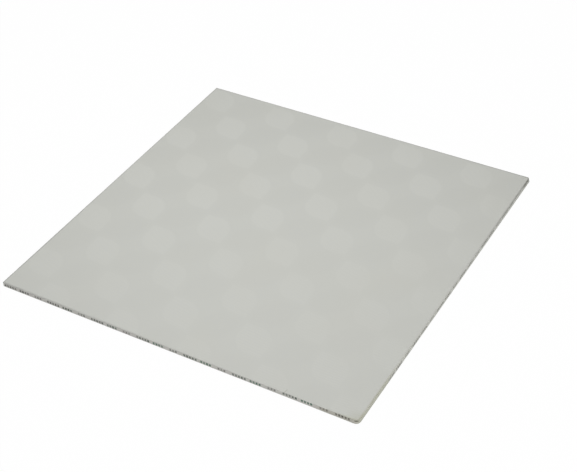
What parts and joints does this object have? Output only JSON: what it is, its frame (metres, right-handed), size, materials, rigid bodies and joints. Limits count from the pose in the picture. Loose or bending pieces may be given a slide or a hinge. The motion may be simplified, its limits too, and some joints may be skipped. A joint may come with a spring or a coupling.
{
  "type": "ceiling board",
  "caption": "Square lay-in ceiling board: a thin flat gypsum panel with a pale embossed vinyl face, square edges and sealed sides, laid into a suspended ceiling grid.",
  "frame": {"origin": "middle of the back, on the plane that the board lies on", "axes": "+Z out of the decorated face, +X and +Y along the two pairs of sides"},
  "size_m": [0.595, 0.595, 0.0075],
  "materials": {
    "board": "satin vinyl film over gypsum"
  },
  "bodies": {
    "root": {"ceiling_board": "board"}
  },
  "joints": []
}
